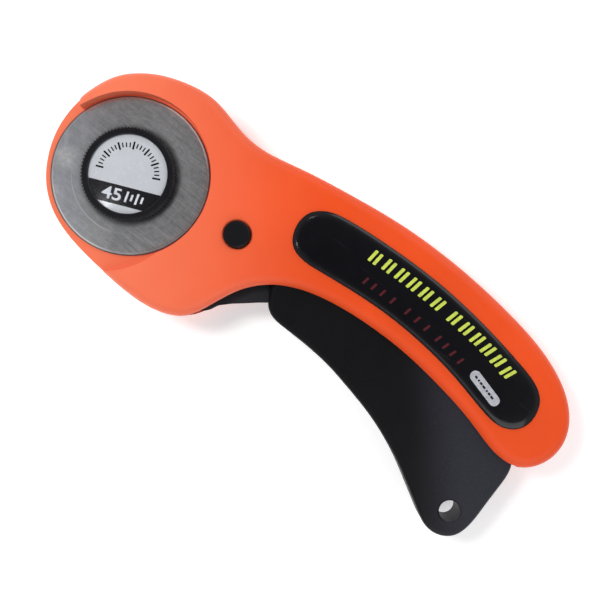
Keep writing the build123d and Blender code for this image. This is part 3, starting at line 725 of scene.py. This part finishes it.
def inlay_z(x, y):
    d = distance_to(inlay_loop, np.array([[x, y]]))[0]
    return INLAY_BASE + inlay_height(d) + 0.025


inlay_pad = pillow("inlay_pad_front", inlay_loop, INLAY_BASE, inlay_height,
                   rings=(0.04, 0.10, 0.20, 0.34, 0.52, 0.74, 1.0, 1.35, 1.75, EDGE_RUN),
                   grid=1.0, mat=INLAY)
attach(inlay_pad, "handle")
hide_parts("front_grip_inlay")

# Centres (x, y) of the yellow bar pairs, nearest the blade first
BAR_STATIONS = [
    (68.52, 24.01), (73.0, 24.45), (77.3, 24.66), (81.5, 24.72), (85.74, 24.72), (90.1, 24.6),
    (96.1, 24.25), (100.5, 24.0), (104.7, 23.6), (108.8, 23.1), (112.9, 22.4), (117.0, 21.5)]
# Centres (x, y) of the dim red dashes, on the -Y side of the bars
DASH_STATIONS = [
    (70.3, 17.3), (73.1, 17.4), (76.1, 17.5), (79.6, 17.6), (84.7, 17.75), (88.2, 17.6),
    (91.7, 17.4), (96.0, 17.0), (98.9, 16.7), (101.7, 16.3), (104.7, 15.9)]


def bar_row(stations, offsets, **bar):
    """Bars at each station plus x offsets, turned to follow the neighbours."""
    bars = []
    for i, (x, y) in enumerate(stations):
        x0, y0 = stations[max(0, i - 1)]
        x1, y1 = stations[min(len(stations) - 1, i + 1)]
        angle = math.atan2(y1 - y0, x1 - x0)
        bars += [rounded_bar(x + off, y, angle, slant=0.18, **bar) for off in offsets]
    return bars


drape("print_bars",
      bar_row(BAR_STATIONS, (-0.85, 0.85), length=0.95, width=3.7, radius=0.3),
      inlay_z, INK_YELLOW, cell=0.7, body="handle")
drape("print_dashes", bar_row(DASH_STATIONS, (0.0,), length=0.7, width=2.2, radius=0.22),
      inlay_z, INK_RED, cell=0.7, body="handle")

# light-grey capsule near the tail end, with a row of black marks
CAPSULE_X, CAPSULE_Y = 114.7, 14.1
CAPSULE_ANGLE = math.atan2(12.86 - 15.31, 119.27 - 110.07)
# (place along the capsule from its centre, length)
CAPSULE_MARKS = ((-3.9, 0.9), (-2.75, 0.55), (-1.7, 0.9), (-0.45, 1.1), (0.9, 0.55),
                 (1.95, 0.9), (3.2, 1.1))
drape("print_capsule",
      [rounded_bar(CAPSULE_X, CAPSULE_Y, CAPSULE_ANGLE, length=11.6, width=3.1,
                   radius=1.54, segments=9)],
      inlay_z, INK_GREY, cell=0.7, body="handle")
drape("print_capsule_marks",
      [rounded_bar(CAPSULE_X + k * math.cos(CAPSULE_ANGLE),
                   CAPSULE_Y + k * math.sin(CAPSULE_ANGLE),
                   CAPSULE_ANGLE, length=length, width=0.62, radius=0.2)
       for k, length in CAPSULE_MARKS],
      lambda x, y: inlay_z(x, y) + TOP_STEP, INK_BLACK, cell=0.5, body="handle",
      thick=TOP_FILM)


# ------------------------------------------------------------ label in the knob
DOME_R = 94.0
DOME_TOP = 10.0
LABEL_TILT = 14.5       # degrees, label's x axis clockwise of the view's
LABEL_ROT = math.radians(VIEW_TURN - LABEL_TILT)
TEXT_Y = -6.25          # centre line of the white print, in label axes
TICKS = 25


def dome_z(x, y):
    return DOME_TOP - DOME_R + math.sqrt(DOME_R ** 2 - x * x - y * y) + 0.02


def over_label(x, y):
    return dome_z(x, y) + TOP_STEP


def label_point(x, y):
    """Label axes to the frame."""
    c, s = math.cos(LABEL_ROT), math.sin(LABEL_ROT)
    return (x * c - y * s, x * s + y * c)


def chord_band(y0, y1, radius, segments=18):
    """Part of a disc between two chords, given in label axes."""
    a0, a1 = math.asin(y0 / radius), math.asin(y1 / radius)
    pts = []
    for side, start, end in ((1, a0, a1), (-1, a1, a0)):
        for i in range(segments + 1):
            a = start + (end - start) * i / segments
            pts.append(label_point(side * radius * math.cos(a), radius * math.sin(a)))
    return pts


def label_ticks():
    """Arc of ticks, every fourth one larger."""
    ticks = []
    for i in range(TICKS):
        a = math.radians(165.0 + LABEL_TILT - 175.0 * i / (TICKS - 1))
        r0, r1, width = (6.9, 9.2, 0.52) if i % 4 == 0 else (7.4, 8.8, 0.36)
        middle = (r0 + r1) / 2
        cx, cy = label_point(middle * math.cos(a), middle * math.sin(a))
        ticks.append(rounded_bar(cx, cy, a + LABEL_ROT, length=r1 - r0, width=width,
                                 radius=width * 0.3, segments=2))
    return ticks


def size_mark(name, text, height, width, centre):
    """Number turned to mesh and laid on the label."""
    curve = bpy.data.curves.new(name + "_c", "FONT")
    curve.body = text
    curve.align_x = "CENTER"
    curve.align_y = "CENTER"
    curve.offset = 0.018
    source = link(bpy.data.objects.new(name + "_t", curve))
    bpy.context.view_layer.update()
    depsgraph = bpy.context.evaluated_depsgraph_get()
    me = bpy.data.meshes.new_from_object(source.evaluated_get(depsgraph))
    bpy.data.objects.remove(source)
    bm = bmesh.new()
    bm.from_mesh(me)
    bmesh.ops.remove_doubles(bm, verts=bm.verts, dist=1e-5)
    xs = [v.co.x for v in bm.verts]
    ys = [v.co.y for v in bm.verts]
    scale_y = height / (max(ys) - min(ys))
    scale_x = width / (max(xs) - min(xs))
    mid_x, mid_y = (max(xs) + min(xs)) / 2, (max(ys) + min(ys)) / 2
    # short edges, so that the number follows the dome
    for _ in range(3):
        long_edges = [e for e in bm.edges if e.calc_length() * scale_y > 0.9]
        if not long_edges:
            break
        bmesh.ops.subdivide_edges(bm, edges=long_edges, cuts=1)
        bmesh.ops.triangulate(bm, faces=bm.faces)
    c, s = math.cos(LABEL_ROT), math.sin(LABEL_ROT)
    for v in bm.verts:
        u, w = (v.co.x - mid_x) * scale_x, (v.co.y - mid_y) * scale_y
        x, y = centre[0] + u * c - w * s, centre[1] + u * s + w * c
        v.co = (x * MM, y * MM, (over_label(x, y) + LIFT) * MM)
    for f in bm.faces:
        f.normal_update()
        if f.normal.z < 0:
            f.normal_flip()
    bm.to_mesh(me)
    bm.free()
    me.name = name
    film(name, me, TOP_FILM, INK_WHITE, "trigger")


drape("label_band", [chord_band(-8.95, -3.6, radius=11.0)], dome_z, INK_BLACK, cell=0.8,
      body="trigger")
drape("label_ticks", label_ticks(), dome_z, INK_BLACK, cell=0.6, body="trigger")
size_mark("label_size", "45", height=3.5, width=5.6, centre=label_point(-2.95, TEXT_Y))
# four upright strokes beside the number, long and short in turn
drape("label_strokes",
      [rounded_bar(*label_point(1.35 + 1.45 * k, TEXT_Y), LABEL_ROT, length=0.62,
                   width=3.1 if k % 2 == 0 else 1.9, radius=0.18, slant=0.12, segments=3)
       for k in range(4)],
      over_label, INK_WHITE, cell=0.6, body="trigger", thick=TOP_FILM)


# ------------------------------------------------------------ stage
def build_floor():
    bm = bmesh.new()
    bmesh.ops.create_grid(bm, x_segments=2, y_segments=2, size=2.5)
    for v in bm.verts:
        v.co.z = lo0.z - 0.0002
    me = mesh_from(bm, "floor")
    floor = link(bpy.data.objects.new("floor", me))
    g = Graph("floor_paper")
    grain = g.noise(scale=420.0, detail=4.0, rough=0.6)
    g.set(base=g.tone(grain, (0.93, 0.93, 0.935), (0.915, 0.915, 0.92)), rough=0.9, spec=0.1,
          normal=g.bump(grain, strength=0.15, dist=0.00004))
    g.bsdf.inputs["Emission Color"].default_value = (1.0, 1.0, 1.0, 1.0)
    g.bsdf.inputs["Emission Strength"].default_value = 0.34
    me.materials.append(g.mat)


def build_world():
    """Light by height, with a darker horizon and below for glossy rays."""
    world = bpy.data.worlds.new("studio")
    bpy.context.scene.world = world
    world.use_nodes = True
    nodes, wire = world.node_tree.nodes, world.node_tree.links.new
    nodes.clear()
    output = nodes.new("ShaderNodeOutputWorld")
    background = nodes.new("ShaderNodeBackground")
    coord = nodes.new("ShaderNodeTexCoord")
    axes = nodes.new("ShaderNodeSeparateXYZ")
    path = nodes.new("ShaderNodeLightPath")
    mix = nodes.new("ShaderNodeMix")
    mix.data_type = "RGBA"
    wire(coord.outputs["Generated"], axes.inputs[0])
    wire(path.outputs["Is Glossy Ray"], mix.inputs[0])
    overhead = [(0.86, (0.40, 0.40, 0.41)), (1.0, (0.13, 0.13, 0.135))]
    plain = [(0.0, grey(1.0)), (0.55, (0.80, 0.80, 0.81))]
    glossy = [(0.30, grey(0.26)), (0.62, (0.74, 0.74, 0.75))]
    for stops, socket in ((plain, mix.inputs[6]), (glossy, mix.inputs[7])):
        ramp = nodes.new("ShaderNodeValToRGB")
        wire(axes.outputs[2], ramp.inputs[0])
        fill_ramp(ramp, stops + overhead)
        wire(ramp.outputs[0], socket)
    wire(mix.outputs[2], background.inputs[0])
    background.inputs[1].default_value = 0.66
    wire(background.outputs[0], output.inputs[0])


def area(name, place, target, size, power, color=(1, 1, 1)):
    """Square lamp aimed at a target, both heights over the parting plane."""
    lamp = bpy.data.lights.new(name, "AREA")
    lamp.shape = "SQUARE"
    lamp.size = size
    lamp.energy = power
    lamp.color = color
    obj = link(bpy.data.objects.new(name, lamp))
    obj.location = (place[0], place[1], place[2] + LIFT * MM)
    obj.rotation_mode = "QUATERNION"
    obj.rotation_quaternion = (Vector(target) - Vector(place)).to_track_quat("-Z", "Y")
    return obj


def build_lights():
    key = area("key", place=(-0.22, -0.02, 0.50), target=(0.05, 0.0, 0.0), size=0.13,
               power=1.5, color=(1.0, 0.99, 0.97))
    key.visible_glossy = False
    # two small lamps that only show as glints on the gloss pieces
    x, y, off = 0.05, 0.014, 0.235
    for name, degrees, size, power in (("glint_left", 223.0, 0.035, 0.085),
                                       ("glint_top", 141.0, 0.028, 0.045)):
        a = math.radians(degrees)
        glint = area(name, place=(x + off * math.cos(a), y + off * math.sin(a), 0.50),
                     target=(x, y, 0.0), size=size, power=power)
        glint.visible_diffuse = False
    area("fill", place=(0.45, -0.30, 0.45), target=(0.06, 0.0, 0.0), size=0.55, power=1.2,
         color=(0.97, 0.98, 1.0))
    area("back", place=(0.10, 0.60, 0.35), target=(0.06, 0.0, 0.0), size=0.50, power=1.0)


def build_camera():
    """Camera looking straight down on the blade side."""
    data = bpy.data.cameras.new("camera")
    camera = link(bpy.data.objects.new("camera", data))
    data.sensor_width = 36.0
    data.lens = 51.1
    data.clip_start = 0.01
    data.clip_end = 10.0
    camera.location = (0.05925, 0.00188, 0.246 + LIFT * MM)
    camera.rotation_euler = (0.0, 0.0, math.radians(VIEW_TURN))
    bpy.context.scene.camera = camera


build_floor()
build_world()
build_lights()
build_camera()
bpy.context.scene.view_settings.view_transform = "Standard"
bpy.context.scene.view_settings.look = "None"
